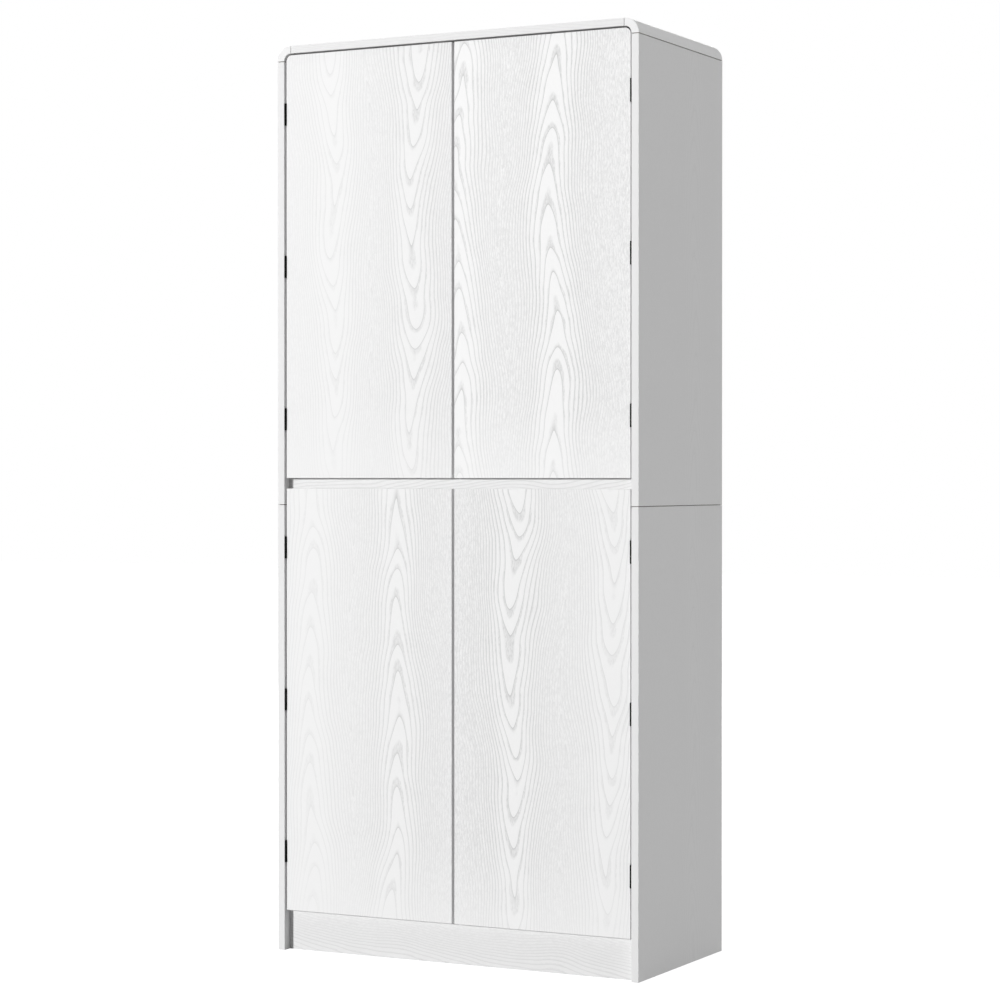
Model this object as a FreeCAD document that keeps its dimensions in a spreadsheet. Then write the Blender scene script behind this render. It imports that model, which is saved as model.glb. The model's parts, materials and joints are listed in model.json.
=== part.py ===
# Pantry cabinet: split side panels, rounded top corners and four inset doors on butt hinges.
# Millimetres. The origin is the middle of the footprint on the floor; the front is towards -Y.
import FreeCAD, Part
import os
import Sketcher

Vector = FreeCAD.Vector
Placement = FreeCAD.Placement
Rotation = FreeCAD.Rotation

# Driving dimensions, copied into the spreadsheet of the document.
SIZES = {
    "width": 800,
    "depth": 400,
    "height": 1820,
    "board": 15,
    "seam": 898,
    "joint": 1,
    "joint_depth": 3,
    "corner_radius": 30,
    "edge_round": 0.6,
    "setback": 20,
    "plinth_height": 80,
    "rail_bottom": 865,
    "rail_height": 90,
    "shelf_play": 1,
    "shelf_setback": 30,
    "back_inset": 12,
    "back_sheet": 3,
    "back_bottom": 60,
    "slot_depth": 5,
    "slot_play": 0.3,
    "strip_web": 1.6,
    "strip_flange": 1.2,
    "strip_height": 16,
    "door_recess": 3.3,
    "door_height": 850,
    "door_corner": 12,
    "door_gap_side": 3.5,
    "door_gap_middle": 5.6,
    "door_gap_top": 3,
    "door_gap_plinth": 1,
    "hinge_end": 118.5,
    "hinge_height": 43,
    "hinge_offset": 2,
    "barrel_radius": 1.9,
    "knuckle": 14.6,
    "knuckle_play": 0.25,
    "leaf": 1.2,
    "leaf_width": 13.5,
    "leaf_screw_rise": 14,
    "leaf_screw_back": 9,
    "pin_radius": 1,
    "pin_play": 0.05,
    "pin_head": 0.7,
    "pin_head_radius": 1.6,
    "screw_head": 2.6,
    "screw_shank": 1.4,
    "screw_length": 12,
    "cross_span": 2.4,
    "cross_slot": 0.6,
    "cross_depth": 0.8,
    "drill_play": 0.05,
    "drill_point": 0.5,
    "peg_radius": 2.5,
    "peg_length": 8,
    "peg_collar": 3.8,
    "peg_collar_thickness": 0.8,
    "peg_column": 130,
    "peg_pitch": 32,
    "cam_radius": 7.4,
    "cam_depth": 12.3,
    "cam_inset": 34,
    "cam_mouth": 3.8,
    "cam_cross_span": 8,
    "cam_cross_slot": 1.4,
    "cam_cross_depth": 2,
    "bolt_shank": 2.5,
    "bolt_thread": 3.4,
    "bolt_thread_length": 10,
    "bolt_head": 3,
    "bolt_head_length": 2.5,
    "bolt_head_past": 1,
    "dowel_radius": 3,
    "dowel_length": 20,
    "dowel_chamfer": 0.8,
    "catch_length": 40,
    "catch_depth": 18,
    "catch_height": 12,
    "catch_ear": 8,
    "catch_ear_depth": 10.8,
    "catch_ear_thickness": 2,
    "catch_centre": 40,
    "strike_length": 34,
    "strike_height": 12,
    "strike_margin": 1,
    "bumper_radius": 4,
    "bumper_thickness": 1.4,
    "bumper_centre": 80,
    "bracket_width": 20,
    "bracket_leg": 40,
    "bracket_sheet": 2,
    "bracket_spacing": 600,
    "bracket_hole": 2.75,
    "bracket_hole_drop": 24,
}

# Where the main planes lie, as formulas on the sheet.
INNER = "(Sizes.width / 2 - Sizes.board)"
FRONT = "(-Sizes.depth / 2)"
STOP = "(Sizes.setback - Sizes.depth / 2)"
BACK = "(Sizes.depth / 2 - Sizes.back_inset)"
SHOULDER = "(Sizes.height - Sizes.corner_radius)"
CEILING = "(Sizes.height - Sizes.board)"
TOP_EDGE = "(Sizes.width / 2 - Sizes.corner_radius)"
LOWER_FLOOR = "(Sizes.plinth_height + Sizes.board)"
RAIL_TOP = "(Sizes.rail_bottom + Sizes.rail_height)"
UPPER_FLOOR = f"({RAIL_TOP} + Sizes.board)"
SIDE_MIDDLE = "(Sizes.width / 2 - Sizes.board / 2)"
DOOR_FACE = f"({FRONT} + Sizes.door_recess)"
DOOR_BACK = f"({DOOR_FACE} + Sizes.board)"
DOOR_WIDTH = f"({INNER} - Sizes.door_gap_side - Sizes.door_gap_middle / 2)"
DOOR_BOTTOM = {
    "lower": "(Sizes.plinth_height + Sizes.door_gap_plinth)",
    "upper": f"({CEILING} - Sizes.door_gap_top - Sizes.door_height)",
}
HINGE_X = f"(Sizes.hinge_offset - {INNER})"
HINGE_Y = f"({FRONT} + Sizes.barrel_radius)"
BAYS = {
    "lower": (LOWER_FLOOR, RAIL_TOP),
    "upper": (UPPER_FLOOR, CEILING),
}
HINGES_PER_DOOR = 3
SHELVES_PER_BAY = 2
PEG_HOLES = 5
CLOSE = 0.001
OVERRUN = 1

doc = FreeCAD.newDocument("pantry_cabinet")
sheet = doc.addObject("Spreadsheet::Sheet", "Sizes")
for row, (alias, value) in enumerate(SIZES.items(), start=1):
    sheet.set(f"A{row}", alias)
    sheet.set(f"B{row}", str(value))
    sheet.setAlias(f"B{row}", alias)
doc.recompute()

nodes = []


# Building blocks. Every size and place is a formula on the sheet.
def place(thing, x, y, z):
    thing.setExpression("Placement.Base.x", x)
    thing.setExpression("Placement.Base.y", y)
    thing.setExpression("Placement.Base.z", z)
    return thing


def box(name, size, corner):
    """A block by its size and its lowest corner."""
    block = doc.addObject("Part::Box", name)
    for side, formula in zip(("Length", "Width", "Height"), size):
        block.setExpression(side, formula)
    return place(block, *corner)


def rod(name, radius, length, start, direction=Vector(0, 0, 1)):
    """A round bar from its start point along a direction."""
    bar = doc.addObject("Part::Cylinder", name)
    bar.setExpression("Radius", radius)
    bar.setExpression("Height", length)
    bar.Placement = Placement(Vector(), Rotation(Vector(0, 0, 1), direction))
    return place(bar, *start)


def group(name, things):
    """Separate solids kept together under one name."""
    bundle = doc.addObject("Part::Compound", name)
    bundle.Links = things
    return bundle


def fuse(name, things):
    union = doc.addObject("Part::MultiFuse", name)
    union.Shapes = things
    return union


def cut(name, base, tools):
    """The base less everything in the tools."""
    rest = doc.addObject("Part::Cut", name)
    rest.Base = base
    rest.Tool = tools[0] if len(tools) == 1 else group(name + "_tools", tools)
    return rest


def mirror(name, source):
    """The same thing on the other side of the cabinet's middle."""
    image = doc.addObject("Part::Mirroring", name)
    image.Source = source
    image.Normal = Vector(1, 0, 0)
    return image


def both_sides(name, left_things):
    """Left-hand solids and their mirror images under one name."""
    left = group(name + "_left", left_things)
    return group(name, [left, mirror(name + "_right", left)])


def copy(name, source, x, y, z, turn=Rotation()):
    """A repeat of a small piece, moved as a whole from the origin to its place."""
    repeat = doc.addObject("App::Link", name)
    repeat.LinkedObject = source
    repeat.LinkTransform = True
    repeat.Placement = Placement(Vector(), turn)
    return place(repeat, x, y, z)


def keep(thing, label):
    """Names a finished sub-part, which is written to a file of that name."""
    thing.Label = label
    nodes.append(thing)
    return thing


def plane(body, role):
    return [item for item in body.Origin.OriginFeatures if item.Role == role][0]


def sketch_on(body, role):
    sketch = body.newObject("Sketcher::SketchObject", body.Name + "_outline")
    sketch.AttachmentSupport = (plane(body, role), [""])
    sketch.MapMode = "FlatFace"
    return sketch


def dimension(sketch, name, formula, *reference):
    """A named size on a sketch, bound to the sheet. It starts at the size already drawn."""
    number = sketch.addConstraint(Sketcher.Constraint(*reference))
    sketch.renameConstraint(number, name)
    sketch.setExpression("Constraints." + name, formula)


def slab(name, length, width, height):
    """A plain rectangular board, padded up from its footprint."""
    body = doc.addObject("PartDesign::Body", name)
    sketch = sketch_on(body, "XY_Plane")
    side = SIZES["board"]
    corners = [Vector(0, 0), Vector(side, 0), Vector(side, side), Vector(0, side)]
    for number, corner in enumerate(corners):
        sketch.addGeometry(Part.LineSegment(corner, corners[(number + 1) % 4]))
    for number in range(4):
        sketch.addConstraint(Sketcher.Constraint("Coincident", number, 2, (number + 1) % 4, 1))
        across = "Vertical" if number % 2 else "Horizontal"
        sketch.addConstraint(Sketcher.Constraint(across, number))
    sketch.addConstraint(Sketcher.Constraint("Coincident", 0, 1, -1, 1))
    dimension(sketch, "length", length, "DistanceX", 0, 1, 0, 2, side)
    dimension(sketch, "width", width, "DistanceY", 1, 1, 1, 2, side)
    pad = body.newObject("PartDesign::Pad", name + "_pad")
    pad.Profile = sketch
    pad.setExpression("Length", height)
    doc.recompute()
    return body


def fillet(body, edges, radius):
    base = body.Tip
    feature = body.newObject("PartDesign::Fillet", f"{body.Name}_fillet")
    feature.Base = (base, edges)
    feature.setExpression("Radius", radius)
    doc.recompute()


def round_corners(body, corners, radius):
    """Rounds the front-to-back edges at the named corners of an upright board."""
    solid = body.Tip.Shape
    bounds = solid.BoundBox
    spots = {"left_top": (bounds.XMin, bounds.ZMax), "right_top": (bounds.XMax, bounds.ZMax)}
    edges = []
    for number, edge in enumerate(solid.Edges, start=1):
        middle = edge.BoundBox.Center
        for x, z in (spots[corner] for corner in corners):
            if abs(middle.x - x) < CLOSE and abs(middle.z - z) < CLOSE:
                edges.append(f"Edge{number}")
    fillet(body, edges, radius)


def ease_faces(body):
    """Eases the outline of the front and the back face of an upright board."""
    solid = body.Tip.Shape
    bounds = solid.BoundBox
    edges = []
    for number, edge in enumerate(solid.Edges, start=1):
        span = edge.BoundBox
        flat = span.YLength < CLOSE
        on_face = min(abs(span.YMin - bounds.YMin), abs(span.YMax - bounds.YMax)) < CLOSE
        if flat and on_face:
            edges.append(f"Edge{number}")
    fillet(body, edges, "Sizes.edge_round")


def board(name, size, corner):
    """A laminated board with every edge eased, by its size and its lowest corner."""
    body = slab(name, *size)
    edges = [f"Edge{number}" for number in range(1, len(body.Tip.Shape.Edges) + 1)]
    fillet(body, edges, "Sizes.edge_round")
    return place(body, *corner)


def quarter_ring(name, outer, inner, length, corner):
    """A quarter of a thick tube that runs front to back, on the upper left of its centre line."""
    body = doc.addObject("PartDesign::Body", name)
    sketch = sketch_on(body, "XZ_Plane")
    big = SIZES["corner_radius"]
    small = SIZES["board"]
    up, left = Vector(0, 1), Vector(-1, 0)
    slope = (up + left).normalize()
    sketch.addGeometry(Part.Arc(up * big, slope * big, left * big))
    sketch.addGeometry(Part.LineSegment(left * big, left * small))
    sketch.addGeometry(Part.Arc(up * small, slope * small, left * small))
    sketch.addGeometry(Part.LineSegment(up * small, up * big))
    for first, end, second, start in ((0, 2, 1, 1), (1, 2, 2, 2), (2, 1, 3, 1), (3, 2, 0, 1)):
        sketch.addConstraint(Sketcher.Constraint("Coincident", first, end, second, start))
    for arc in (0, 2):
        sketch.addConstraint(Sketcher.Constraint("Coincident", arc, 3, -1, 1))
    sketch.addConstraint(Sketcher.Constraint("PointOnObject", 1, 1, -1))
    sketch.addConstraint(Sketcher.Constraint("PointOnObject", 1, 2, -1))
    sketch.addConstraint(Sketcher.Constraint("PointOnObject", 3, 1, -2))
    sketch.addConstraint(Sketcher.Constraint("PointOnObject", 3, 2, -2))
    dimension(sketch, "outer", outer, "Radius", 0, big)
    dimension(sketch, "inner", inner, "Radius", 2, small)
    pad = body.newObject("PartDesign::Pad", name + "_pad")
    pad.Profile = sketch
    pad.Reversed = True
    pad.setExpression("Length", length)
    doc.recompute()
    edges = [f"Edge{number}" for number in range(1, len(pad.Shape.Edges) + 1)]
    fillet(body, edges, "Sizes.edge_round")
    return place(body, *corner)


# Countersunk screw: the head's flat is at the origin and the shank runs down -Z.
def screw_blank(name, play):
    head = doc.addObject("Part::Cone", name + "_head")
    head.setExpression("Radius1", f"Sizes.screw_shank + {play}")
    head.setExpression("Radius2", f"Sizes.screw_head + {play}")
    head.setExpression("Height", "Sizes.leaf")
    place(head, "0", "0", "-Sizes.leaf")
    reach = f"(Sizes.screw_length + {play})"
    shank = rod(name + "_shank", f"Sizes.screw_shank + {play}", reach, ("0", "0", f"-{reach}"))
    return fuse(name, [head, shank])


def cross_recess(name, span, slot, sink):
    """A cross of two slots sunk into a head whose flat is at the origin."""
    low = f"-{sink}"
    tall = f"{sink} + {OVERRUN}"
    first = box(name + "_a", (span, slot, tall), (f"-{span} / 2", f"-{slot} / 2", low))
    second = box(name + "_b", (slot, span, tall), (f"-{slot} / 2", f"-{span} / 2", low))
    return fuse(name, [first, second])


screw_cross = cross_recess("screw_cross", "Sizes.cross_span", "Sizes.cross_slot", "Sizes.cross_depth")
screw = cut("screw", screw_blank("screw_body", "0"), [screw_cross])
screw_drill = screw_blank("screw_drill", "Sizes.drill_play")

# Cam lock: its face is at the origin, flush with the board, and its bolt comes in along +X.
MID_BOARD = "(-Sizes.board / 2)"
ALONG_X = Vector(1, 0, 0)
cam_disc = rod("cam_disc", "Sizes.cam_radius", "Sizes.cam_depth", ("0", "0", "-Sizes.cam_depth"))
cam_mouth = rod("cam_mouth", "Sizes.cam_mouth", f"Sizes.cam_radius + Sizes.bolt_head_past + 2 * {OVERRUN}",
                (f"-Sizes.cam_radius - {OVERRUN}", "0", MID_BOARD), ALONG_X)
cam_cross = cross_recess("cam_cross", "Sizes.cam_cross_span", "Sizes.cam_cross_slot",
                         "Sizes.cam_cross_depth")
cam_lock = cut("cam_lock", cam_disc, [cam_mouth, cam_cross])
bolt_thread = rod("bolt_thread", "Sizes.bolt_thread", "Sizes.bolt_thread_length",
                  ("-Sizes.cam_inset - Sizes.bolt_thread_length", "0", MID_BOARD), ALONG_X)
bolt_shank = rod("bolt_shank", "Sizes.bolt_shank", "Sizes.cam_inset",
                 ("-Sizes.cam_inset", "0", MID_BOARD), ALONG_X)
bolt_head = rod("bolt_head", "Sizes.bolt_head", "Sizes.bolt_head_length",
                ("Sizes.bolt_head_past - Sizes.bolt_head_length", "0", MID_BOARD), ALONG_X)
cam_bolt = fuse("cam_bolt", [bolt_thread, bolt_shank, bolt_head])
cam_hole = rod("cam_hole", "Sizes.cam_radius + Sizes.drill_play", f"Sizes.cam_depth + {OVERRUN}",
               ("0", "0", "-Sizes.cam_depth"))
bolt_hole = rod("bolt_hole", "Sizes.bolt_thread + Sizes.drill_play",
                "Sizes.cam_inset + Sizes.bolt_thread_length",
                ("-Sizes.cam_inset - Sizes.bolt_thread_length", "0", MID_BOARD), ALONG_X)
cam_drill = fuse("cam_drill", [cam_hole, bolt_hole])

# Dowel, centred on the origin along Z, and the hole for it.
dowel_rod = rod("dowel_rod", "Sizes.dowel_radius", "Sizes.dowel_length",
                ("0", "0", "-Sizes.dowel_length / 2"))
dowel = doc.addObject("Part::Chamfer", "dowel")
dowel.Base = dowel_rod
doc.recompute()
chamfer = SIZES["dowel_chamfer"]
dowel.Edges = [(number, chamfer, chamfer) for number, edge in enumerate(dowel_rod.Shape.Edges, start=1)
               if edge.BoundBox.ZLength < CLOSE]
dowel_drill = rod("dowel_drill", "Sizes.dowel_radius + Sizes.drill_play",
                  "Sizes.dowel_length + 2 * Sizes.drill_play",
                  ("0", "0", "-Sizes.dowel_length / 2 - Sizes.drill_play"))

# Shelf peg: the plug is in the panel on -X, the collar lies on the panel, the rest is on +X.
peg_bar = rod("peg_bar", "Sizes.peg_radius", "2 * Sizes.peg_length",
              ("-Sizes.peg_length", "0", "0"), ALONG_X)
peg_collar = rod("peg_collar_disc", "Sizes.peg_collar", "Sizes.peg_collar_thickness",
                 ("0", "0", "0"), ALONG_X)
peg = fuse("peg", [peg_bar, peg_collar])
peg_drill = rod("peg_drill", "Sizes.peg_radius + Sizes.drill_play",
                f"Sizes.peg_length + Sizes.drill_point + {OVERRUN}",
                ("-Sizes.peg_length - Sizes.drill_point", "0", "0"), ALONG_X)

# Butt hinge for a left-hand door: the origin is on its pin, half way up.
# The door is towards +X and the inside of the cabinet towards +Y.
HALF_HINGE = "(Sizes.hinge_height / 2)"
HALF_KNUCKLE = "(Sizes.knuckle / 2)"
BARREL_CLEAR = "(Sizes.barrel_radius + Sizes.knuckle_play)"
LEAF_FAR = f"({BARREL_CLEAR} + Sizes.leaf_width)"
DOOR_EDGE = "(Sizes.door_gap_side - Sizes.hinge_offset)"
CLEAR_KNUCKLE = f"({HALF_KNUCKLE} + Sizes.knuckle_play)"
pin_bore = rod("pin_bore", "Sizes.pin_radius + Sizes.pin_play", f"Sizes.hinge_height + {OVERRUN}",
               ("0", "0", f"-{HALF_HINGE} - {OVERRUN} / 2"))


def leaf(name, face_x, spans):
    """A leaf whose plate starts at face_x, curled round the pin over the given stretches."""
    plate = box(name + "_plate", ("Sizes.leaf", "Sizes.leaf_width", "Sizes.hinge_height"),
                (face_x, BARREL_CLEAR, f"-{HALF_HINGE}"))
    pieces = [plate]
    for number, (low, height) in enumerate(spans):
        barrel = rod(f"{name}_barrel_{number}", "Sizes.barrel_radius", height, ("0", "0", low))
        tab = box(f"{name}_tab_{number}", ("Sizes.leaf", BARREL_CLEAR, height), (face_x, "0", low))
        pieces += [barrel, tab]
    return fuse(name + "_blank", pieces)


def leaf_screw_places(face_x):
    """The two screws of a leaf, as offsets from the hinge's origin."""
    return [(face_x, "Sizes.leaf_screw_back", f"{side} * Sizes.leaf_screw_rise") for side in (-1, 1)]


FRAME_LEAF_FACE = "(Sizes.leaf - Sizes.hinge_offset)"
DOOR_LEAF_FACE = f"({DOOR_EDGE} - Sizes.leaf)"
HEAD_TO_DOOR = Rotation(Vector(0, 0, 1), Vector(1, 0, 0))
HEAD_TO_SIDE = Rotation(Vector(0, 0, 1), Vector(-1, 0, 0))
frame_spans = [(CLEAR_KNUCKLE, f"{HALF_HINGE} - {CLEAR_KNUCKLE}"),
               (f"-{HALF_HINGE}", f"{HALF_HINGE} - {CLEAR_KNUCKLE}")]
door_spans = [(f"-{HALF_KNUCKLE}", "Sizes.knuckle")]


def leaf_screws(name, source, face_x, turn):
    return [copy(f"{name}_{number}", source, x, y, z, turn)
            for number, (x, y, z) in enumerate(leaf_screw_places(face_x))]


frame_leaf = cut("frame_leaf", leaf("frame", "-Sizes.hinge_offset", frame_spans),
                 [pin_bore] + leaf_screws("frame_countersink", screw_drill, FRAME_LEAF_FACE, HEAD_TO_DOOR))
door_leaf = cut("door_leaf", leaf("door", DOOR_LEAF_FACE, door_spans),
                [pin_bore] + leaf_screws("door_countersink", screw_drill, DOOR_LEAF_FACE, HEAD_TO_SIDE))
frame_screw_pair = group("frame_screw_pair",
                         leaf_screws("frame_screw", screw, FRAME_LEAF_FACE, HEAD_TO_DOOR))
door_screw_pair = group("door_screw_pair", leaf_screws("door_screw", screw, DOOR_LEAF_FACE, HEAD_TO_SIDE))
frame_drill_pair = group("frame_drill_pair",
                         leaf_screws("frame_drilling", screw_drill, FRAME_LEAF_FACE, HEAD_TO_DOOR))
door_drill_pair = group("door_drill_pair",
                        leaf_screws("door_drilling", screw_drill, DOOR_LEAF_FACE, HEAD_TO_SIDE))
pin_shaft = rod("pin_shaft", "Sizes.pin_radius", "Sizes.hinge_height", ("0", "0", f"-{HALF_HINGE}"))
pin_top = rod("pin_top", "Sizes.pin_head_radius", "Sizes.pin_head", ("0", "0", HALF_HINGE))
pin_foot = rod("pin_foot", "Sizes.pin_head_radius", "Sizes.pin_head",
               ("0", "0", f"-{HALF_HINGE} - Sizes.pin_head"))
hinge_pin = fuse("hinge_pin", [pin_shaft, pin_top, pin_foot])


def at_hinges(name, level, source):
    """A hinge piece repeated at every hinge of the left-hand door of one level."""
    repeats = []
    for number in range(HINGES_PER_DOOR):
        rise = f"{number} * (Sizes.door_height / 2 - Sizes.hinge_end)"
        height = f"{DOOR_BOTTOM[level]} + Sizes.hinge_end + {rise}"
        repeats.append(copy(f"{name}_{level}_{number}", source, HINGE_X, HINGE_Y, height))
    return repeats


# Places of the fastenings on the left half of the cabinet.
OUT_OF_UNDERSIDE = Rotation(Vector(1, 0, 0), 180)
OUT_OF_REAR = Rotation(Vector(1, 0, 0), -90)
OUT_OF_FRONT = Rotation(Vector(1, 0, 0), 90)
RAIL_BACK = f"({BACK} - Sizes.strip_flange - Sizes.slot_play - Sizes.board)"
STOP_REAR = f"({STOP} + Sizes.board)"
PLINTH_MIDDLE = "(Sizes.plinth_height / 2)"
BELOW_SEAM = "((Sizes.seam + Sizes.rail_bottom) / 2)"
ABOVE_SEAM = f"((Sizes.seam + {RAIL_TOP}) / 2)"
cam_places = [("-Sizes.peg_column", "Sizes.plinth_height", OUT_OF_UNDERSIDE),
              ("Sizes.peg_column", "Sizes.plinth_height", OUT_OF_UNDERSIDE),
              ("-Sizes.peg_column", RAIL_TOP, OUT_OF_UNDERSIDE),
              ("Sizes.peg_column", RAIL_TOP, OUT_OF_UNDERSIDE),
              (STOP_REAR, PLINTH_MIDDLE, OUT_OF_REAR),
              (RAIL_BACK, PLINTH_MIDDLE, OUT_OF_FRONT),
              (STOP_REAR, BELOW_SEAM, OUT_OF_REAR),
              (STOP_REAR, ABOVE_SEAM, OUT_OF_REAR),
              (RAIL_BACK, BELOW_SEAM, OUT_OF_FRONT),
              (RAIL_BACK, ABOVE_SEAM, OUT_OF_FRONT)]


def at_cams(name, source):
    return [copy(f"{name}_{number}", source, f"Sizes.cam_inset - {INNER}", y, z, turn)
            for number, (y, z, turn) in enumerate(cam_places)]


UPRIGHT = Rotation()
LYING = Rotation(Vector(0, 0, 1), ALONG_X)
dowel_seams = [(f"-{SIDE_MIDDLE}", "Sizes.seam", UPRIGHT),
               (f"-{SIDE_MIDDLE}", SHOULDER, UPRIGHT),
               (f"-{TOP_EDGE}", f"{CEILING} + Sizes.board / 2", LYING)]


def at_dowels(name, source):
    repeats = []
    for seam, (x, z, turn) in enumerate(dowel_seams):
        for step in (-1, 0, 1):
            y = f"{step} * Sizes.peg_column"
            repeats.append(copy(f"{name}_{seam}_{step + 1}", source, x, y, z, turn))
    return repeats


def peg_height(level, shelf):
    """Height of the middle of the pegs under a shelf, with the shelves evenly spread in their bay."""
    low, high = BAYS[level]
    clear = f"(({high} - {low} - {SHELVES_PER_BAY} * Sizes.board) / {SHELVES_PER_BAY + 1})"
    return f"({low} + {shelf} * {clear} + {shelf - 1} * Sizes.board - Sizes.peg_radius)"


def at_pegs(name, source, level, steps):
    """A shelf peg or its hole on both columns of the left side, at the given steps from each shelf."""
    repeats = []
    for shelf in range(1, SHELVES_PER_BAY + 1):
        for column in (-1, 1):
            for step in steps:
                height = f"{peg_height(level, shelf)} + {step} * Sizes.peg_pitch"
                label = f"{name}_{level}_{shelf}_{column + 1}_{step + PEG_HOLES}"
                repeats.append(copy(label, source, f"-{INNER}", f"{column} * Sizes.peg_column", height))
    return repeats


peg_steps = range(-(PEG_HOLES // 2), PEG_HOLES // 2 + 1)
cam_drills = both_sides("cam_drills", at_cams("cam_drilling", cam_drill))
dowel_drills = both_sides("dowel_drills", at_dowels("dowel_drilling", dowel_drill))
hinge_drills = group("hinge_drills", [repeat for level in DOOR_BOTTOM
                                      for repeat in at_hinges("frame_drills", level, frame_drill_pair)])
peg_drills = group("peg_drills", [repeat for level in BAYS
                                  for repeat in at_pegs("peg_drilling", peg_drill, level, peg_steps)])

# Slot for the back sheets: the sheets' own outline, a little larger, let into sides and top.
SLOT_REACH = "(Sizes.slot_depth + Sizes.slot_play)"
SLOT_HALF = f"({INNER} + {SLOT_REACH})"
back_slot = slab("back_slot", f"2 * {SLOT_HALF}", "Sizes.back_sheet + Sizes.slot_play",
                 f"{CEILING} + {SLOT_REACH} - Sizes.back_bottom")
round_corners(back_slot, ("left_top", "right_top"),
              f"Sizes.corner_radius - Sizes.board + {SLOT_REACH}")
place(back_slot, f"-{SLOT_HALF}", BACK, "Sizes.back_bottom")

# Side panels, in two lengths. A fine open joint runs round the seam and under the mouldings.
SEAM_BELOW = "(Sizes.seam - Sizes.joint / 2)"
SEAM_ABOVE = "(Sizes.seam + Sizes.joint / 2)"
BELOW_MOULDING = f"({SHOULDER} - Sizes.joint)"
BOARD_CORE = "(Sizes.board - 2 * Sizes.joint_depth)"
DEPTH_CORE = "(Sizes.depth - 2 * Sizes.joint_depth)"


def side_length(name, low, high):
    """One length of the left side, with a core on its top end that keeps the joint above it open."""
    panel = board(name + "_panel", ("Sizes.board", "Sizes.depth", f"{high} - {low}"),
                  ("-Sizes.width / 2", FRONT, low))
    core = box(name + "_core", (BOARD_CORE, DEPTH_CORE, "Sizes.joint"),
               ("Sizes.joint_depth - Sizes.width / 2", f"{FRONT} + Sizes.joint_depth", high))
    return fuse(name + "_blank", [panel, core])


side_lower = side_length("side_lower", "0", SEAM_BELOW)
side_upper = side_length("side_upper", SEAM_ABOVE, BELOW_MOULDING)
side_drills = [back_slot, cam_drills, dowel_drills, hinge_drills, peg_drills]
for level, blank in (("lower", side_lower), ("upper", side_upper)):
    left = keep(cut(f"left_{level}", blank, side_drills), f"left_side_{level}")
    keep(mirror(f"right_{level}", left), f"right_side_{level}")

# Rounded corner mouldings, which carry the sides round into the top.
moulding = quarter_ring("moulding_blank", "Sizes.corner_radius", "Sizes.corner_radius - Sizes.board",
                        "Sizes.depth", (f"-{TOP_EDGE}", FRONT, SHOULDER))
left_moulding = keep(cut("left_moulding", moulding, [back_slot, dowel_drills]), "left_corner_moulding")
keep(mirror("right_moulding", left_moulding), "right_corner_moulding")

# Anti-tip brackets under the top, against the back, with a hole for a screw into the wall.
bracket_wall_leg = box("bracket_wall_leg",
                       ("Sizes.bracket_width", "Sizes.bracket_sheet", "Sizes.bracket_leg"),
                       ("-Sizes.bracket_width / 2", "-Sizes.bracket_sheet", "-Sizes.bracket_leg"))
bracket_top_leg = box("bracket_top_leg",
                      ("Sizes.bracket_width", "Sizes.bracket_leg", "Sizes.bracket_sheet"),
                      ("-Sizes.bracket_width / 2", "-Sizes.bracket_leg", "-Sizes.bracket_sheet"))
ALONG_Y = Vector(0, 1, 0)
wall_hole = rod("wall_hole", "Sizes.bracket_hole", "2 * Sizes.bracket_leg",
                ("0", "-Sizes.bracket_leg", "-Sizes.bracket_hole_drop"), ALONG_Y)
bracket_screw_place = ("0", "-Sizes.bracket_hole_drop", "-Sizes.bracket_sheet")
bracket_screw = copy("bracket_screw", screw, *bracket_screw_place, OUT_OF_UNDERSIDE)
bracket_drill = copy("bracket_drill", screw_drill, *bracket_screw_place, OUT_OF_UNDERSIDE)
bracket = cut("bracket", fuse("bracket_angle", [bracket_wall_leg, bracket_top_leg]),
              [wall_hole, bracket_drill])


def at_brackets(name, source):
    return both_sides(name, [copy(name + "_first", source, "-Sizes.bracket_spacing / 2", BACK, CEILING)])


bracket_drills = at_brackets("bracket_drills", group("bracket_drill_only", [bracket_drill]))
wall_holes = at_brackets("wall_holes", wall_hole)

# Magnetic catches: a body between two ears, standing on the origin with its front at y = 0.
catch_body = box("catch_body", ("Sizes.catch_length - 2 * Sizes.catch_ear", "Sizes.catch_depth",
                                "Sizes.catch_height"),
                 ("Sizes.catch_ear - Sizes.catch_length / 2", "0", "0"))
catch_ears = box("catch_ears",
                 ("Sizes.catch_length", "Sizes.catch_ear_depth", "Sizes.catch_ear_thickness"),
                 ("-Sizes.catch_length / 2", "(Sizes.catch_depth - Sizes.catch_ear_depth) / 2", "0"))
CATCH_SCREW_X = "(Sizes.catch_length / 2 - Sizes.catch_ear / 2)"


def catch_screws(name, source):
    return [copy(f"{name}_{side + 1}", source, f"{side} * {CATCH_SCREW_X}", "Sizes.catch_depth / 2",
                 "Sizes.catch_ear_thickness")
            for side in (-1, 1)]


catch = cut("catch", fuse("catch_blank", [catch_body, catch_ears]),
            catch_screws("catch_countersink", screw_drill))
catch_screw_pair = group("catch_screw_pair", catch_screws("catch_screw", screw))
catch_drill_pair = group("catch_drill_pair", catch_screws("catch_drilling", screw_drill))
CATCH_FACE = f"({DOOR_BACK} + Sizes.leaf + Sizes.slot_play)"


def at_catches(name, source):
    """A catch piece on the floor of the lower bay and, upside down, under the top."""
    upside_down = Rotation(ALONG_Y, 180)
    spots = (("floor", LOWER_FLOOR, Rotation()), ("top", CEILING, upside_down))
    return both_sides(name, [copy(f"{name}_{spot}", source, "-Sizes.catch_centre", CATCH_FACE, z, turn)
                             for spot, z, turn in spots])


catch_drills = at_catches("catch_drills", catch_drill_pair)

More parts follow.
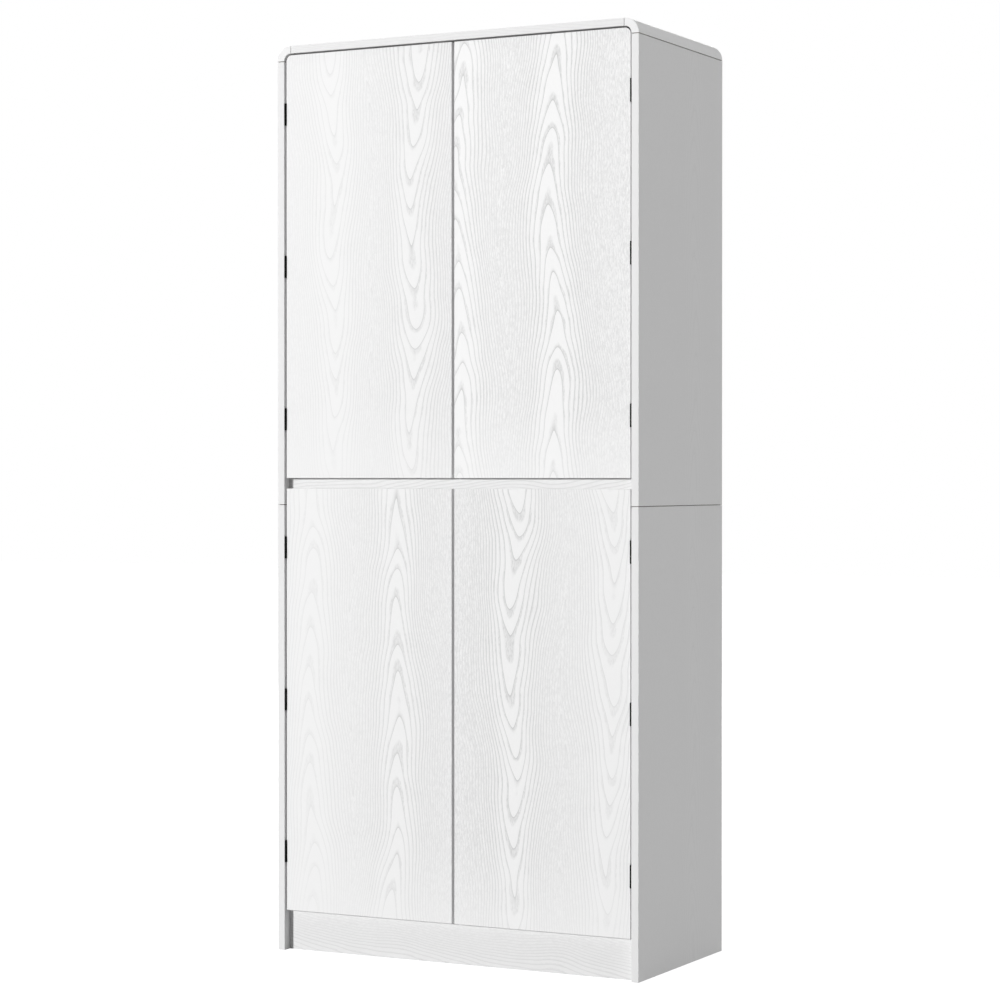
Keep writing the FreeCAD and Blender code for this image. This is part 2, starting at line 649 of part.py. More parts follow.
# Horizontal boards: the fixed ones are cammed to the sides, the shelves lie on pegs.
top_board = board("top_board", (f"2 * ({TOP_EDGE} - Sizes.joint)", "Sizes.depth", "Sizes.board"),
                  (f"Sizes.joint - {TOP_EDGE}", FRONT, CEILING))
top_core = box("top_core", (f"2 * {TOP_EDGE}", DEPTH_CORE, BOARD_CORE),
               (f"-{TOP_EDGE}", f"{FRONT} + Sizes.joint_depth", f"{CEILING} + Sizes.joint_depth"))
top_blank = fuse("top_blank", [top_board, top_core])
keep(cut("top", top_blank, [back_slot, dowel_drills, bracket_drills, catch_drills]), "top_panel")
FIXED_DEPTH = f"{BACK} - {STOP}"
for name, z, drills in (("bottom_panel", "Sizes.plinth_height", [cam_drills, catch_drills]),
                        ("middle_shelf", RAIL_TOP, [cam_drills])):
    blank = board(name + "_blank", (f"2 * {INNER}", FIXED_DEPTH, "Sizes.board"), (f"-{INNER}", STOP, z))
    keep(cut(name + "_cut", blank, drills), name)
for level in BAYS:
    for shelf in range(1, SHELVES_PER_BAY + 1):
        loose_size = (f"2 * ({INNER} - Sizes.shelf_play)",
                      f"{BACK} - {FRONT} - Sizes.shelf_setback - Sizes.slot_depth", "Sizes.board")
        loose = board(f"{level}_shelf_{shelf}", loose_size,
                      (f"Sizes.shelf_play - {INNER}", f"{FRONT} + Sizes.shelf_setback",
                       f"{peg_height(level, shelf)} + Sizes.peg_radius"))
        keep(loose, f"{level}_shelf_{shelf}")

# Upright boards across the cabinet: plinth boards at the floor and rails across the seam.
for name, y, z, height in (("front_plinth", STOP, "0", "Sizes.plinth_height"),
                           ("back_plinth", RAIL_BACK, "0", "Sizes.plinth_height"),
                           ("front_middle_rail", STOP, "Sizes.rail_bottom", "Sizes.rail_height"),
                           ("back_middle_rail", RAIL_BACK, "Sizes.rail_bottom", "Sizes.rail_height")):
    blank = board(name + "_blank", (f"2 * {INNER}", "Sizes.board", height), (f"-{INNER}", y, z))
    keep(cut(name + "_cut", blank, [cam_drills]), name)

# Back sheets, in two heights that meet in the joining strip.
SHEET_HALF = f"({INNER} + Sizes.slot_depth)"
SHEET_Y = f"({BACK} + Sizes.slot_play / 2)"
HALF_WEB = "(Sizes.strip_web / 2)"
lower_back = slab("lower_back", f"2 * {SHEET_HALF}", "Sizes.back_sheet",
                  f"Sizes.seam - {HALF_WEB} - Sizes.back_bottom")
keep(place(lower_back, f"-{SHEET_HALF}", SHEET_Y, "Sizes.back_bottom"), "lower_back_panel")
upper_back = slab("upper_back", f"2 * {SHEET_HALF}", "Sizes.back_sheet",
                  f"{CEILING} + Sizes.slot_depth - Sizes.seam - {HALF_WEB}")
round_corners(upper_back, ("left_top", "right_top"),
              "Sizes.corner_radius - Sizes.board + Sizes.slot_depth")
place(upper_back, f"-{SHEET_HALF}", SHEET_Y, f"Sizes.seam + {HALF_WEB}")
keep(cut("upper_back_cut", upper_back, [wall_holes]), "upper_back_panel")

# Joining strip: an H section that the two back sheets slide into.
STRIP_LENGTH = f"(2 * ({INNER} - Sizes.shelf_play))"
STRIP_X = f"(-{STRIP_LENGTH} / 2)"
STRIP_LOW = "(Sizes.seam - Sizes.strip_height / 2)"
STRIP_SLOT = "(Sizes.back_sheet + Sizes.slot_play)"
strip_front = box("strip_front", (STRIP_LENGTH, "Sizes.strip_flange", "Sizes.strip_height"),
                  (STRIP_X, f"{BACK} - Sizes.strip_flange", STRIP_LOW))
strip_rear = box("strip_rear", (STRIP_LENGTH, "Sizes.strip_flange", "Sizes.strip_height"),
                 (STRIP_X, f"{BACK} + {STRIP_SLOT}", STRIP_LOW))
strip_web = box("strip_web", (STRIP_LENGTH, STRIP_SLOT, "Sizes.strip_web"),
                (STRIP_X, BACK, f"Sizes.seam - {HALF_WEB}"))
keep(fuse("strip", [strip_front, strip_rear, strip_web]), "back_joining_strip")

# Doors. Each carries its hinge leaves, their screws and the strike plate of its catch.
strike_plate = box("strike_plate", ("Sizes.strike_length", "Sizes.leaf", "Sizes.strike_height"),
                   ("-Sizes.strike_length / 2", "0", "-Sizes.strike_height / 2"))
strike_screw_place = ("0", "Sizes.leaf", "0")
strike_drill = copy("strike_drill", screw_drill, *strike_screw_place, OUT_OF_REAR)
strike_screw = copy("strike_screw", screw, *strike_screw_place, OUT_OF_REAR)
strike = cut("strike", strike_plate, [strike_drill])
strike_screw_alone = group("strike_screw_alone", [strike_screw])
strike_drill_alone = group("strike_drill_alone", [strike_drill])
STRIKE_HEIGHT = {
    "lower": f"({LOWER_FLOOR} + Sizes.catch_height / 2 + Sizes.strike_margin)",
    "upper": f"({CEILING} - Sizes.door_gap_top - Sizes.strike_height / 2 - Sizes.strike_margin)",
}
for level, bottom in DOOR_BOTTOM.items():
    strike_place = ("-Sizes.catch_centre", DOOR_BACK, STRIKE_HEIGHT[level])
    blank = slab(f"{level}_door_blank", DOOR_WIDTH, "Sizes.board", "Sizes.door_height")
    if level == "upper":
        round_corners(blank, ("left_top",), "Sizes.door_corner")
    ease_faces(blank)
    place(blank, f"Sizes.door_gap_side - {INNER}", DOOR_FACE, bottom)
    drills = at_hinges("door_drills", level, door_drill_pair)
    drills.append(copy(f"{level}_strike_drilling", strike_drill_alone, *strike_place))
    screws = at_hinges("door_screws", level, door_screw_pair)
    screws.append(copy(f"{level}_strike_screw", strike_screw_alone, *strike_place))
    left_pieces = {
        "door": cut(f"{level}_door", blank, drills),
        "door_hinge_leaves": group(f"{level}_door_leaves", at_hinges("door_leaf", level, door_leaf)),
        "door_screws": group(f"{level}_door_screws", screws),
        "strike_plate": group(f"{level}_strike", [copy(f"{level}_strike_plate", strike, *strike_place)]),
        "frame_hinge_leaves": group(f"{level}_frame_leaves", at_hinges("frame_leaf", level, frame_leaf)),
        "hinge_pins": group(f"{level}_pins", at_hinges("pin", level, hinge_pin)),
    }
    for name, piece in left_pieces.items():
        keep(piece, f"{level}_left_{name}")
        keep(mirror(f"{level}_right_{name}_mirror", piece), f"{level}_right_{name}")

# Small hardware, each kind in one group.
keep(both_sides("frame_screws", [repeat for level in DOOR_BOTTOM
                                 for repeat in at_hinges("frame_screws", level, frame_screw_pair)]),
     "frame_hinge_screws")
keep(both_sides("shelf_pegs", [repeat for level in BAYS
                               for repeat in at_pegs("peg_copy", peg, level, (0,))]), "shelf_pegs")
keep(both_sides("cams", at_cams("cam_copy", cam_lock)), "cam_locks")
keep(both_sides("bolts", at_cams("bolt_copy", cam_bolt)), "cam_bolts")
keep(both_sides("pegs_of_wood", at_dowels("dowel_copy", dowel)), "dowels")
keep(at_catches("catches", catch), "magnetic_catches")
keep(at_catches("catch_screws", catch_screw_pair), "catch_screws")
keep(at_brackets("brackets", bracket), "wall_brackets")
keep(at_brackets("bracket_screws", group("bracket_screw_alone", [bracket_screw])), "bracket_screws")

# Soft bumpers on the boards that the doors close against.
bumper_heights = ("Sizes.plinth_height + Sizes.board / 2", BELOW_SEAM, f"{RAIL_TOP} + Sizes.board / 2")
bumpers = [rod(f"bumper_{number}", "Sizes.bumper_radius", "Sizes.bumper_thickness",
               ("-Sizes.bumper_centre", f"{STOP} - Sizes.bumper_thickness", height), ALONG_Y)
           for number, height in enumerate(bumper_heights)]
keep(both_sides("door_bumpers_all", bumpers), "door_bumpers")

# Check every object, then write one file for each sub-part.
doc.recompute()
for thing in doc.Objects:
    if {"Invalid", "Error"} & set(thing.State):
        raise RuntimeError(f"{thing.Name} failed: {thing.State}")
for node in nodes:
    if node.Shape.isNull() or not node.Shape.isValid():
        raise RuntimeError(f"{node.Label} has no valid shape")
os.makedirs("parts", exist_ok=True)
for node in nodes:
    node.Shape.exportStep(f"parts/{node.Label}.step")
    print(node.Label, len(node.Shape.Solids), round(node.Shape.Volume))
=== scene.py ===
import json
import math

import bpy
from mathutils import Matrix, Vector


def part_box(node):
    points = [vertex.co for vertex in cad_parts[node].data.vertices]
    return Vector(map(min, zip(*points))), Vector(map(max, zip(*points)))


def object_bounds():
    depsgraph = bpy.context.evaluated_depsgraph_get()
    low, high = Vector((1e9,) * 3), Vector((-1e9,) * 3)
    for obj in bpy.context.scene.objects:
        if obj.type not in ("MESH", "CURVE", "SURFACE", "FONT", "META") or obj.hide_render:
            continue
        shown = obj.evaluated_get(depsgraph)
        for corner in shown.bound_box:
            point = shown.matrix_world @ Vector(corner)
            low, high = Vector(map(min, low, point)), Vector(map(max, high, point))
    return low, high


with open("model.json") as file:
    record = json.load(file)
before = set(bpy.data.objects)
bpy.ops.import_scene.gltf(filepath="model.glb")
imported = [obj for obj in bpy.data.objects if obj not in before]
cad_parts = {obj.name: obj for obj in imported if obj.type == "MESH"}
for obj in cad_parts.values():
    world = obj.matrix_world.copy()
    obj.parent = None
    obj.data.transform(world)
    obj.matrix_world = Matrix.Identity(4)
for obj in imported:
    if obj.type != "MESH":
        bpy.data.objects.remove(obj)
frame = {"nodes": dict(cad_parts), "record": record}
cad_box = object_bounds()

MM = 0.001
NODES = frame["nodes"]
LOW, HIGH = cad_box
CENTRE = (LOW + HIGH) / 2
# A face looks along an axis when its normal goes further along it than this.
SQUARE_ON = 0.7


class Shader:
    """A material under construction. Each method adds one node and returns its output socket."""

    def __init__(self, name):
        self.material = bpy.data.materials.new(name)
        self.material.use_nodes = True
        self.tree = self.material.node_tree
        self.surface = self.tree.nodes["Principled BSDF"]

    def node(self, kind, values=(), **settings):
        """A node of any kind. Values go to its inputs in order or, from a dict, by name."""
        made = self.tree.nodes.new(kind)
        for setting, choice in settings.items():
            setattr(made, setting, choice)
        pairs = values.items() if isinstance(values, dict) else enumerate(values)
        for key, value in pairs:
            self.plug(made.inputs[key], value)
        return made

    def plug(self, socket, value):
        if isinstance(value, bpy.types.NodeSocket):
            self.tree.links.new(value, socket)
        else:
            socket.default_value = value

    def math(self, operation, *values):
        return self.node("ShaderNodeMath", values, operation=operation).outputs[0]

    def vector(self, x, y, z):
        return self.node("ShaderNodeCombineXYZ", (x, y, z)).outputs[0]

    def place(self):
        """The place on the piece at rest, in millimetres of the row frame, as three sockets."""
        local = self.node("ShaderNodeTexCoord").outputs["Object"]
        scaled = self.node("ShaderNodeVectorMath", {0: local, "Scale": 1 / MM}, operation="SCALE")
        return self.node("ShaderNodeSeparateXYZ", (scaled.outputs[0],)).outputs

    def facing(self, axis):
        """One where the face looks along the axis, either way, and zero elsewhere."""
        normal = self.node("ShaderNodeTexCoord").outputs["Normal"]
        parts = self.node("ShaderNodeSeparateXYZ", (normal,)).outputs
        return self.math("GREATER_THAN", self.math("ABSOLUTE", parts["XYZ".index(axis)]), SQUARE_ON)

    def noise(self, vector, detail=2.0, roughness=0.5):
        """Smooth random values about 0.5, one feature to each unit of the vector."""
        values = {"Vector": vector, "Scale": 1.0, "Detail": detail, "Roughness": roughness}
        return self.node("ShaderNodeTexNoise", values).outputs["Fac"]

    def swing(self, vector, size):
        """Random values from about minus to plus the size."""
        centred = self.math("SUBTRACT", self.noise(vector, detail=1.0), 0.5)
        return self.math("MULTIPLY", centred, 2 * size)

    def scaled(self, parts, sizes):
        """A vector of the parts, each divided by its size."""
        return self.vector(*(self.math("DIVIDE", part, size) for part, size in zip(parts, sizes)))

    def cells(self, across, along, size, seed):
        """A place among random cells of the given width and length, in the layer of the seed."""
        width, length = size
        return self.vector(self.math("DIVIDE", across, width), self.math("DIVIDE", along, length), seed)

    def remap(self, value, low, high, to_low, to_high):
        names = {"Value": value, "From Min": low, "From Max": high, "To Min": to_low, "To Max": to_high}
        return self.node("ShaderNodeMapRange", names).outputs[0]

    def blend(self, share, first, second):
        """A colour between two, by the share of the second."""
        made = self.node("ShaderNodeMix", data_type="RGBA")
        for key, value in (("Factor_Float", share), ("A_Color", first), ("B_Color", second)):
            self.plug(next(i for i in made.inputs if i.identifier == key), value)
        return next(o for o in made.outputs if o.identifier == "Result_Color")

    def bump(self, height, distance):
        """Raises the surface by the distance where the height is one."""
        values = {"Height": height, "Distance": distance, "Strength": 1.0}
        self.set(Normal=self.node("ShaderNodeBump", values).outputs[0])

    def set(self, **values):
        """Sets the surface's own sockets, with _ for a space in their names."""
        for name, value in values.items():
            self.plug(self.surface.inputs[name.replace("_", " ")], value)


def grey(level):
    return (level, level, level, 1.0)


# Laminate: a printed and embossed ash grain under white lacquer. All lengths are in millimetres.
# Rings are nested arches near each heart, one to each spacing along the grain. Further out they are
# straight lines at an even rate. Where two hearts meet, their rings merge softly.
RING_SPACING = 70
HEART_WIDTH = 21
HEART_POWER = 1.7
STRAIGHT_FROM = 60
STRAIGHT_RATE = 0.18
MERGE = 1.5
# How the rings wander: the width and length of the random cells, then how far each shifts the rings.
# Each noise of a board has its own layer above the seed, so that no two noises agree.
SLOW_CELLS, SLOW_SWAY = (260, 330), 34
QUICK_CELLS, QUICK_SWAY = (50, 95), 5
UNEVEN_CELLS, UNEVEN_RUN = (400, 150), 75
QUICK_LAYER, UNEVEN_LAYER, PATCH_LAYER = 7, 3, 11
# The dark line at each ring is keen at the heart and broad from the leg distance on.
LEG_DISTANCE = 45.0
HEART_KEENNESS, LEG_KEENNESS = 14.0, 3.6
# The shaded band behind a line comes and goes in patches and is mottled by the flecks.
PATCH_CELLS = (80, 60)
PATCH_LOW, PATCH_HIGH, PATCH_SHARE = 0.35, 0.65, 0.35
BAND_FROM = 0.82
BAND_FLECKED, BAND_EVEN = 0.42, 0.18
# Flecks are pores, short along the grain.
FLECK_WIDTH, FLECK_LENGTH = 1.9, 8.0
FLECK_LOW, FLECK_HIGH, FLECK_ROUGHNESS = 0.38, 0.62, 0.7
# Away from the hearts the rings grow faint and the flecks take over.
RINGS_FULL_TO, RINGS_FAINT_FROM, FAINT_RINGS = 50, 125, 0.34
FLECKS_FROM, FLECKS_FULL_FROM, FEW_FLECKS, MANY_FLECKS = 20, 90, 0.05, 0.40
# A board with a foot shows its grain this weakly there, and in full from the fade's length up.
FOOT_FADE, FOOT_STRENGTH = 160, 0.45
# Edge bands take their grain from a place this far off, where it is straight.
EDGE_SHIFT = 2000
# Surface: colour of a line against the paper, roughness of paper and line, gloss and emboss depth.
LINE_TO_PAPER = 0.66
PAPER_ROUGHNESS, LINE_ROUGHNESS = 0.56, 0.68
LAMINATE_GLOSS = 0.15
EMBOSS = 0.12
# Open joints show the board's core, painted darker than its own colour as the shade inside the groove:
# painted shade, darkest at the joint across the middle of the side, paler at the joint under the
# moulding.
JOINT_SHADE_HALF = 0.6
DARK_PAINTED_JOINT_SHADE = (0.10, 0.085, 0.07, 1.0)
PALE_PAINTED_JOINT_SHADE = (0.38, 0.36, 0.34, 1.0)


def rings(shader, across, along, hearts, sense, seed):
    """Growth rings cut by the board: nested arches about each heart, straight lines further out.
    Returns the ring number, which grows outwards, and the distance from the nearest heart."""
    slow = shader.cells(across, along, SLOW_CELLS, seed)
    quick = shader.cells(across, along, QUICK_CELLS, seed + QUICK_LAYER)
    sway = shader.math("ADD", shader.swing(slow, SLOW_SWAY), shader.swing(quick, QUICK_SWAY))
    bent = shader.math("ADD", across, sway)
    uneven = shader.cells(across, along, UNEVEN_CELLS, seed + UNEVEN_LAYER)
    run = shader.math("ADD", along, shader.swing(uneven, UNEVEN_RUN))
    nearest = None
    for place, start, _ in hearts:
        offset = shader.math("ABSOLUTE", shader.math("SUBTRACT", bent, place))
        inner = shader.math("MINIMUM", offset, STRAIGHT_FROM)
        outer = shader.math("MAXIMUM", shader.math("SUBTRACT", offset, STRAIGHT_FROM), 0.0)
        arch = shader.math("POWER", shader.math("DIVIDE", inner, HEART_WIDTH), HEART_POWER)
        count = shader.math("ADD", shader.math("MULTIPLY_ADD", outer, STRAIGHT_RATE, arch), start)
        if nearest is None:
            nearest, distance = count, offset
        else:
            nearest = shader.math("SMOOTH_MIN", nearest, count, MERGE)
            distance = shader.math("MINIMUM", distance, offset)
    return shader.math("MULTIPLY_ADD", run, sense / RING_SPACING, nearest), distance


def laminate(name, axes, hearts, sense, depth, seed, paper=0.88, joints=(), foot=None):
    """White lacquered board, with straight grain on its edge bands. The axes are the one along the
    grain and the one across it. Each heart has a place, a first ring and a strength. The sense is 1
    where the arches point along the axis and -1 where they point against it. The depth is how
    strongly the whole grain shows, about 1 on a door. Shaded joints are the heights at which an open
    joint crosses the board, each with the colour painted on the joint's walls: the board's core, made
    darker than its own colour as painted shade in the groove. The grain fades towards the foot, if
    one is given."""
    shader = Shader(name)
    place = shader.place()
    along_axis, across_axis = axes
    along, across = place["XYZ".index(along_axis)], place["XYZ".index(across_axis)]
    through = place[next(index for index, axis in enumerate("XYZ") if axis not in axes)]
    banding = shader.math("SUBTRACT", shader.math("ADD", through, EDGE_SHIFT), across)
    across = shader.math("MULTIPLY_ADD", shader.facing(across_axis), banding, across)
    ring, distance = rings(shader, across, along, hearts, sense, seed)
    fade = shader.math("SUBTRACT", 1.0, shader.math("FRACT", ring))
    keenness = shader.remap(distance, 0.0, LEG_DISTANCE, HEART_KEENNESS, LEG_KEENNESS)
    line = shader.math("POWER", fade, keenness)
    fleck_place = shader.scaled((across, along, through), (FLECK_WIDTH, FLECK_LENGTH, FLECK_WIDTH))
    fleck_noise = shader.noise(fleck_place, detail=2.0, roughness=FLECK_ROUGHNESS)
    fleck = shader.remap(fleck_noise, FLECK_LOW, FLECK_HIGH, 0.0, 1.0)
    patch_noise = shader.noise(shader.cells(across, along, PATCH_CELLS, seed + PATCH_LAYER))
    patch = shader.remap(patch_noise, PATCH_LOW, PATCH_HIGH, 0.0, 1.0)
    behind = shader.math("MULTIPLY_ADD", patch, PATCH_SHARE, fade)
    band = shader.remap(behind, BAND_FROM, 1.0, 0.0, 1.0)
    mottle = shader.math("MULTIPLY_ADD", fleck, BAND_FLECKED, BAND_EVEN)
    figure = shader.math("MAXIMUM", line, shader.math("MULTIPLY", band, mottle))
    near = shader.remap(distance, RINGS_FULL_TO, RINGS_FAINT_FROM, 1.0, FAINT_RINGS)
    far = shader.remap(distance, FLECKS_FROM, FLECKS_FULL_FROM, FEW_FLECKS, MANY_FLECKS)
    relief = shader.math("MAXIMUM", shader.math("MULTIPLY", figure, near),
                         shader.math("MULTIPLY", fleck, far))
    first_place, _, first_strength = hearts[0]
    last_place, _, last_strength = hearts[-1]
    strength = shader.remap(across, first_place, last_place + 1.0,
                            first_strength * depth, last_strength * depth)
    if foot is not None:
        share = shader.remap(along, foot, foot + FOOT_FADE, FOOT_STRENGTH, 1.0)
        strength = shader.math("MULTIPLY", strength, share)
    shown = shader.math("MULTIPLY", relief, strength)
    colour = shader.blend(shown, grey(paper), grey(paper * LINE_TO_PAPER))
    # Painted shade: the walls of each open joint are coloured dark, as the shade inside the groove.
    for height, painted_shade in joints:
        colour = shader.blend(shader.math("COMPARE", along, height, JOINT_SHADE_HALF), colour, painted_shade)
    rough = shader.remap(shown, 0.0, 1.0, PAPER_ROUGHNESS, LINE_ROUGHNESS)
    shader.set(Base_Color=colour, Roughness=rough, Specular_IOR_Level=LAMINATE_GLOSS)
    shader.bump(shader.math("SUBTRACT", 1.0, shown), EMBOSS * MM)
    return shader.material


# Fittings. Random cells and bump depths are in millimetres. A low and a high are the values of the
# noise between which the effect grows from nothing to full.
NOISE_LOW, NOISE_HIGH = 0.3, 0.7
WEAR_CELLS = (6, 6, 9)
WEAR_LOW, WEAR_HIGH, WORN_BRIGHTER = 0.55, 0.8, 1.6
METAL_SMOOTHER, METAL_ROUGHER = 0.06, 0.08
PEEL_DEPTH = 0.02
SPARK_CELLS, SPARK_DEPTH, SPARK_SPREAD = (0.4, 0.4, 0.4), 0.03, 0.05
CLOUD_CELLS, CLOUD_DARKER = (12, 12, 12), 0.96
BEECH_LIGHT, BEECH_DARK = (0.62, 0.42, 0.24, 1.0), (0.42, 0.25, 0.12, 1.0)
BEECH_LOW, BEECH_HIGH = 0.4, 0.65
BEECH_NOISE_ROUGHNESS, BEECH_ROUGHNESS, BEECH_DEPTH = 0.7, 0.7, 0.05


def painted_metal(name, level, rough, metallic=0.0, gloss=0.5):
    """Stoved paint or plating with a faint orange peel, worn a little brighter in places."""
    shader = Shader(name)
    place = tuple(shader.place())
    peel = shader.noise(shader.vector(*place), detail=2.0)
    wear = shader.noise(shader.scaled(place, WEAR_CELLS), detail=4.0)
    share = shader.remap(wear, WEAR_LOW, WEAR_HIGH, 0.0, 1.0)
    shader.set(Base_Color=shader.blend(share, grey(level), grey(level * WORN_BRIGHTER)))
    smoothest, roughest = rough - METAL_SMOOTHER, rough + METAL_ROUGHER
    roughness = shader.remap(wear, NOISE_LOW, NOISE_HIGH, smoothest, roughest)
    shader.set(Roughness=roughness, Metallic=metallic, Specular_IOR_Level=gloss)
    shader.bump(peel, PEEL_DEPTH * MM)
    return shader.material


def plastic(name, level, rough):
    """Moulded plastic or rubber with a fine spark-eroded texture."""
    shader = Shader(name)
    place = tuple(shader.place())
    texture = shader.noise(shader.scaled(place, SPARK_CELLS), detail=2.0)
    cloud = shader.noise(shader.scaled(place, CLOUD_CELLS), detail=2.0)
    shader.set(Base_Color=shader.blend(cloud, grey(level * CLOUD_DARKER), grey(level)))
    roughness = shader.remap(texture, NOISE_LOW, NOISE_HIGH, rough - SPARK_SPREAD, rough + SPARK_SPREAD)
    shader.set(Roughness=roughness)
    shader.bump(texture, SPARK_DEPTH * MM)
    return shader.material


def beech(name):
    """Bare turned beech with short dark flecks."""
    shader = Shader(name)
    fleck = shader.noise(shader.vector(*shader.place()), detail=4.0, roughness=BEECH_NOISE_ROUGHNESS)
    share = shader.remap(fleck, BEECH_LOW, BEECH_HIGH, 0.0, 1.0)
    shader.set(Base_Color=shader.blend(share, BEECH_LIGHT, BEECH_DARK), Roughness=BEECH_ROUGHNESS)
    shader.bump(fleck, BEECH_DEPTH * MM)
    return shader.material


# The doors. Each heart lies at a share of the door's width, then comes its first ring and its strength.
DOOR_GRAIN = {
    "upper_left_door": dict(hearts=((0.29, 2.4, 0.42), (0.79, 0.0, 1.0)),
                            sense=-1, depth=0.92, seed=3, paper=0.88),
    "upper_right_door": dict(hearts=((0.03, 1.3, 0.8), (0.57, 0.0, 1.0)),
                             sense=1, depth=1.25, seed=21, paper=0.915),
    "lower_left_door": dict(hearts=((0.16, 2.6, 0.34), (0.66, 0.0, 1.0)),
                            sense=1, depth=0.95, seed=42, paper=0.88),
    "lower_right_door": dict(hearts=((0.34, 0.0, 1.0), (0.89, 1.7, 0.45)),
                             sense=-1, depth=1.2, seed=63, paper=0.89),
}


def door_material(node, hearts, **grain):
    low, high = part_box(node)
    width = high.x - low.x
    placed = [((low.x + share * width) / MM, ring, strength) for share, ring, strength in hearts]
    return laminate(node + "_laminate", "ZX", placed, foot=low.z / MM, **grain)


def paint(names, material):
    for name in names:
        slots = NODES[name].data.materials
        slots.clear()
        slots.append(material)


def in_slot(slot):
    return [part["node"] for part in frame["record"]["subparts"] if part["material_slot"] == slot]


for node, grain in DOOR_GRAIN.items():
    paint([node], door_material(node, **grain))

# The carcass boards. Hearts lie at a place in millimetres, which is outside a board that shows only
# straight grain.
SIDE_HEARTS = ((60.0, 0.0, 1.0),)
TOP_HEARTS = ((HIGH.z / MM - 70.0, 0.0, 1.0),)
RAIL_HEARTS = ((990.0, 0.0, 1.0),)
PLINTH_HEARTS = ((-25.0, 0.0, 1.0),)
SHELF_HEARTS = ((-60.0, 0.0, 1.0), (130.0, 1.5, 1.0))
BACK_HEARTS = ((-150.0, 0.0, 1.0), (170.0, 1.5, 1.0))
# Painted shade in the side's open joints: dark at the joint across the middle, paler at the joint under
# the moulding.
SIDE_SHADED_JOINTS = [(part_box(node)[1].z / MM, painted_shade)
               for node, painted_shade in (("left_side_lower", DARK_PAINTED_JOINT_SHADE), ("left_side_upper", PALE_PAINTED_JOINT_SHADE))]

side_grain = laminate("side_laminate", "ZY", SIDE_HEARTS, sense=1, depth=0.16, seed=84,
                      paper=0.82, joints=SIDE_SHADED_JOINTS)
# Painted light: the moulding's paper is lighter than the side's, standing in for light from above on its
# curve.
moulding_painted_light_grain = laminate("moulding_laminate_painted_light", "ZY", SIDE_HEARTS, sense=1, depth=0.16, seed=90,
                          paper=0.86, joints=SIDE_SHADED_JOINTS)
top_grain = laminate("crossing_laminate", "XZ", TOP_HEARTS, sense=1, depth=0.30, seed=95, paper=0.82)
rail_grain = laminate("rail_laminate", "XZ", RAIL_HEARTS, sense=1, depth=0.6, seed=105, paper=0.80)
plinth_grain = laminate("plinth_laminate", "XZ", PLINTH_HEARTS, sense=1, depth=0.6, seed=116, paper=0.84)
shelf_grain = laminate("shelf_laminate", "XY", SHELF_HEARTS, sense=-1, depth=0.5, seed=126, paper=0.84)
back_grain = laminate("back_laminate", "ZX", BACK_HEARTS, sense=1, depth=0.3, seed=147, paper=0.80)
black_paint = painted_metal("black_paint", level=0.004, rough=0.6, gloss=0.05)
zinc_plate = painted_metal("zinc_plate", level=0.62, rough=0.34, metallic=1.0)
cast_zinc = painted_metal("cast_zinc", level=0.48, rough=0.48, metallic=1.0)
nickel_plate = painted_metal("nickel_plate", level=0.66, rough=0.26, metallic=1.0)
bare_beech = beech("bare_beech")
white_plastic = plastic("white_plastic", level=0.84, rough=0.45)
clear_rubber = plastic("clear_rubber", level=0.72, rough=0.6)

for slot, material in (("carcass_laminate", side_grain), ("rail_laminate", rail_grain),
                       ("shelf_laminate", shelf_grain), ("back_sheet", back_grain),
                       ("hinge_black", black_paint), ("zinc_steel", zinc_plate),
                       ("cam_zinc", cast_zinc), ("peg_steel", nickel_plate),
                       ("dowel_wood", bare_beech), ("white_plastic", white_plastic),
                       ("bumper_rubber", clear_rubber)):
    paint(in_slot(slot), material)
# These pieces share a slot with others, but not their grain.
paint(["top_panel"], top_grain)
paint(["left_corner_moulding", "right_corner_moulding"], moulding_painted_light_grain)
paint(["front_plinth", "back_plinth"], plinth_grain)


# Stage: a pale floor under a white sky, a key from the front left, and soft fills from the other sides.
FLOOR_SIZE = 40.0
FLOOR_GIVEN = 0.40
FLOOR_SEEN = 0.30
FLOOR_GLOW = 1.0
CAMERA_REACH = 100.0


def floor():
    """A plain floor. The camera sees it glow white, so that no horizon shows. The object is lit by a
    duller one that doesn't glow."""
    bpy.ops.mesh.primitive_plane_add(size=FLOOR_SIZE, location=(0, 0, 0))
    plane = bpy.context.object
    plane.name = "studio_floor"
    shader = Shader("studio_floor")
    dull = shader.node("ShaderNodeBsdfDiffuse", (grey(FLOOR_GIVEN),)).outputs[0]
    pale = shader.node("ShaderNodeBsdfDiffuse", (grey(FLOOR_SEEN),)).outputs[0]
    glow = shader.node("ShaderNodeEmission", (grey(1.0), FLOOR_GLOW)).outputs[0]
    bright = shader.node("ShaderNodeAddShader", (pale, glow)).outputs[0]
    seen = shader.node("ShaderNodeLightPath").outputs["Is Camera Ray"]
    mixed = shader.node("ShaderNodeMixShader", (seen, dull, bright)).outputs[0]
    shader.plug(shader.tree.nodes["Material Output"].inputs["Surface"], mixed)
    plane.data.materials.append(shader.material)


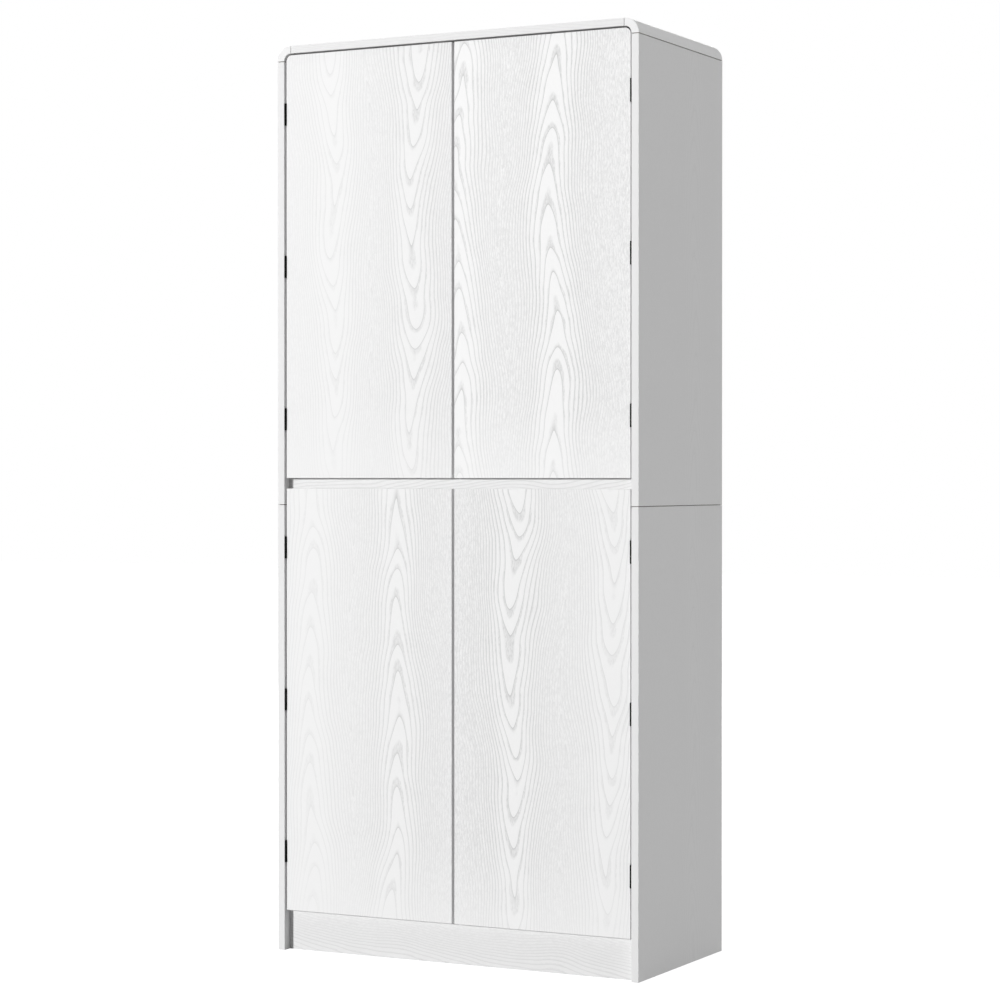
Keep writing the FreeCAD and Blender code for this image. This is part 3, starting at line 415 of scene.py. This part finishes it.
def sky(seen, given):
    """A white surround. It looks as bright as seen and lights the object as given."""
    world = bpy.data.worlds.new("studio_sky")
    bpy.context.scene.world = world
    world.use_nodes = True
    tree = world.node_tree
    light = tree.nodes["Background"]
    shown = tree.nodes.new("ShaderNodeBackground")
    for background, strength in ((light, given), (shown, seen)):
        background.inputs["Strength"].default_value = strength
        background.inputs["Color"].default_value = grey(1.0)
    path = tree.nodes.new("ShaderNodeLightPath")
    mix = tree.nodes.new("ShaderNodeMixShader")
    tree.links.new(path.outputs["Is Camera Ray"], mix.inputs[0])
    tree.links.new(light.outputs[0], mix.inputs[1])
    tree.links.new(shown.outputs[0], mix.inputs[2])
    tree.links.new(mix.outputs[0], tree.nodes["World Output"].inputs["Surface"])


def softbox(name, azimuth, elevation, distance, size, power):
    """A square lamp aimed at the middle of the object. Azimuth 0 is straight in front, 90 the right."""
    turn, rise = math.radians(azimuth), math.radians(elevation)
    back = Vector((math.sin(turn) * math.cos(rise), -math.cos(turn) * math.cos(rise), math.sin(rise)))
    lamp = bpy.data.lights.new(name, "AREA")
    lamp.size = size
    lamp.energy = power
    holder = bpy.data.objects.new(name, lamp)
    holder.location = CENTRE + back * distance
    holder.rotation_euler = (-back).to_track_quat("-Z", "Y").to_euler()
    bpy.context.scene.collection.objects.link(holder)


def camera(location, yaw, pitch, lens):
    """A camera without roll. Yaw turns to the right of +Y and pitch above the horizon, in degrees."""
    data = bpy.data.cameras.new("camera")
    data.lens = lens
    data.clip_end = CAMERA_REACH
    holder = bpy.data.objects.new("camera", data)
    holder.location = location
    holder.rotation_euler = (math.radians(90 + pitch), 0.0, math.radians(-yaw))
    bpy.context.scene.collection.objects.link(holder)
    bpy.context.scene.camera = holder


floor()
sky(seen=1.0, given=0.12)
softbox("key", azimuth=-24, elevation=9, distance=16.0, size=1.6, power=2150)
softbox("side_fill", azimuth=95, elevation=2, distance=9.0, size=2.2, power=266)
softbox("overhead", azimuth=50, elevation=76, distance=5.0, size=2.5, power=55)
softbox("rear_fill", azimuth=205, elevation=20, distance=7.0, size=2.5, power=250)
camera((2.5835, -4.929, 0.9552), yaw=-27.656, pitch=-0.488, lens=99.48)
bpy.context.scene.view_settings.view_transform = "Standard"
